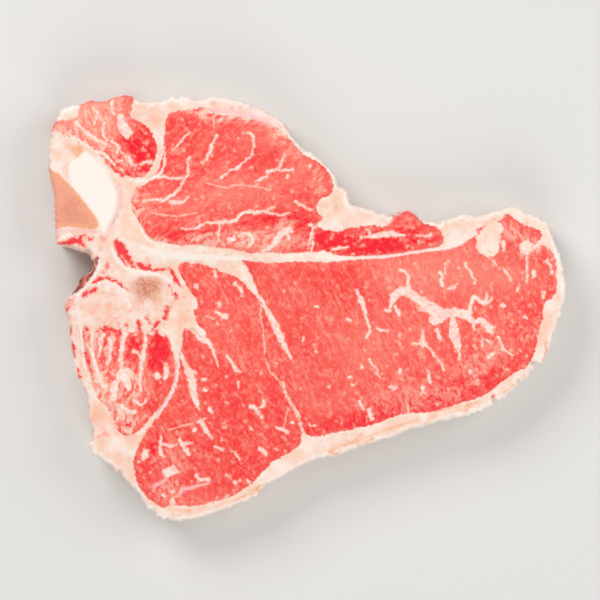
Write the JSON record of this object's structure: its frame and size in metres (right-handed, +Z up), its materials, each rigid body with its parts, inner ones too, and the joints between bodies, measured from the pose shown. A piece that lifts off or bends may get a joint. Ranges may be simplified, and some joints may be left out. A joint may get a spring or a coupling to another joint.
{
  "type": "raw t-bone steak",
  "caption": "Raw beef steak cut across the short loin: T-shaped bone between the tenderloin and the strip loin, side muscles, and a rim of cream fat.",
  "frame": {"origin": "centre of the steak's bounding box at the flat lower cut face", "axes": "+X from the sawn backbone towards the thin tail of the strip loin, +Y from the strip loin towards the tenderloin, +Z up out of the upper cut face"},
  "size_m": [0.2065, 0.1701, 0.0227],
  "materials": {
    "meat": null,
    "dark_meat": null,
    "bone": null,
    "fat": null
  },
  "bodies": {
    "root": {"tenderloin": "meat", "loin_eye": "meat", "loin_cap": "meat", "chine_muscle": "meat", "skirt_muscle": "dark_meat", "chain_muscle": "dark_meat", "t_bone": "bone", "fat": "fat", "fat_patch": "fat"}
  },
  "joints": []
}
